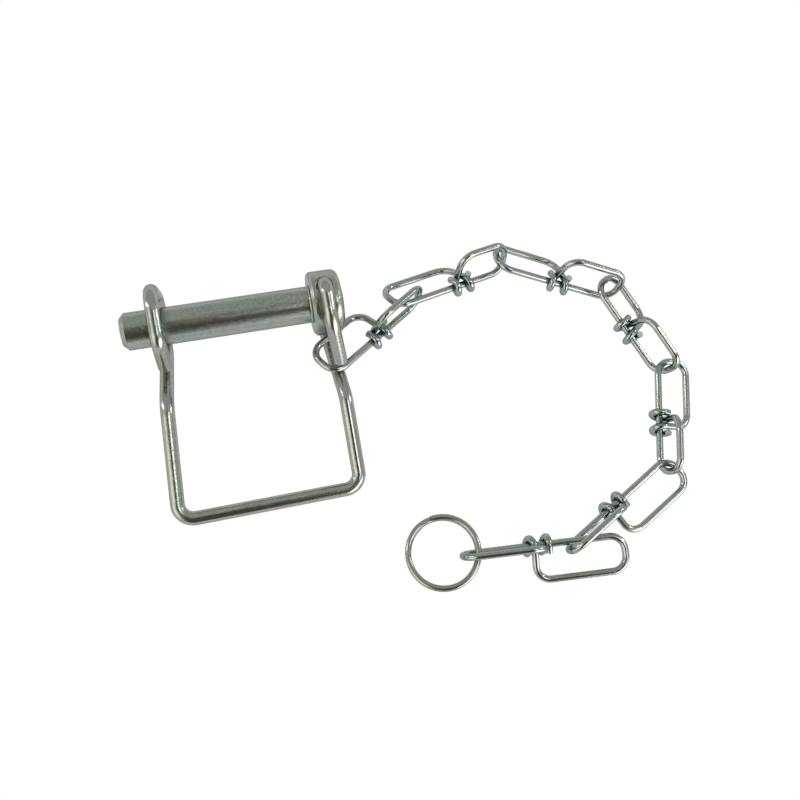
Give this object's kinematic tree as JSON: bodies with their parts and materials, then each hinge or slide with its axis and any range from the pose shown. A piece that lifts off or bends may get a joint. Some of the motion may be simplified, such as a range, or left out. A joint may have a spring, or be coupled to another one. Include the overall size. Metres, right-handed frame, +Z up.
{
  "type": "wire lock pin",
  "caption": "Zinc-plated steel lock pin with a cross-drilled head, a sprung square wire bail that snaps round the shank, and a knotted wire chain with a split ring.",
  "frame": {"origin": "centre of the pin's shoulder face, on the pin's axis", "axes": "+X along the pin from the shoulder into the head, +Z up from the table it lies on, bail lying towards -Y"},
  "size_m": [0.15, 0.0955, 0.0255],
  "materials": {
    "pin_steel": "bright zinc plate over turned steel",
    "bail_steel": "bright zinc plate over drawn spring wire",
    "link_steel": "bright zinc plate over drawn wire",
    "ring_steel": "bright zinc or nickel plate over spring wire"
  },
  "bodies": {
    "pin": {"lock_pin": "pin_steel"},
    "bail": {"bail_wire": "bail_steel"},
    "link_1": {"chain_link_1": "link_steel"},
    "link_2": {"chain_link_2": "link_steel"},
    "link_3": {"chain_link_3": "link_steel"},
    "link_4": {"chain_link_4": "link_steel"},
    "link_5": {"chain_link_5": "link_steel"},
    "link_6": {"chain_link_6": "link_steel"},
    "link_7": {"chain_link_7": "link_steel"},
    "ring": {"split_ring": "ring_steel"}
  },
  "joints": [
    {"name": "bail_swing", "type": "hinge", "parent": "pin", "child": "bail", "pos_m": [0.0037, 0.0035, 0.00085], "axis": [0, -0.2346, 0.9721], "range_deg": [-15, 150], "deforming": ["bail_wire"]},
    {"name": "link_1_swing", "type": "hinge", "parent": "bail", "child": "link_1", "pos_m": [0.00452, -0.01545, -0.00816], "axis": [0.0642, -0.9634, 0.2602], "range_deg": [-18, 3]},
    {"name": "link_2_swing", "type": "hinge", "parent": "link_1", "child": "link_2", "pos_m": [0.03024, 0.00052, -0.00612], "axis": [-0.0758, -0.2398, -0.9679], "range_deg": [-45, 22]},
    {"name": "link_3_swing", "type": "hinge", "parent": "link_2", "child": "link_3", "pos_m": [0.05703, 0.00816, -0.00753], "axis": [-0.064, -0.5581, -0.8273], "range_deg": [-45, 28]},
    {"name": "link_4_swing", "type": "hinge", "parent": "link_3", "child": "link_4", "pos_m": [0.08895, -0.00543, -0.00898], "axis": [-0.3541, -0.352, -0.8664], "range_deg": [-45, 10]},
    {"name": "link_5_swing", "type": "hinge", "parent": "link_4", "child": "link_5", "pos_m": [0.09628, -0.03208, -0.00734], "axis": [-0.3574, 0.0058, -0.9339], "range_deg": [-45, 12]},
    {"name": "link_6_swing", "type": "hinge", "parent": "link_5", "child": "link_6", "pos_m": [0.08764, -0.06005, -0.0061], "axis": [0.1213, -0.1402, 0.9827], "range_deg": [-45, 45]},
    {"name": "link_7_swing", "type": "hinge", "parent": "link_6", "child": "link_7", "pos_m": [0.05536, -0.0749, -0.00818], "axis": [0.1145, 0.1149, -0.9867], "range_deg": [-14, 45]},
    {"name": "ring_swing", "type": "hinge", "parent": "link_7", "child": "ring", "pos_m": [0.02697, -0.07065, -0.00781], "axis": [-0.12, -0.1277, 0.9845], "range_deg": [-12, 60]}
  ]
}
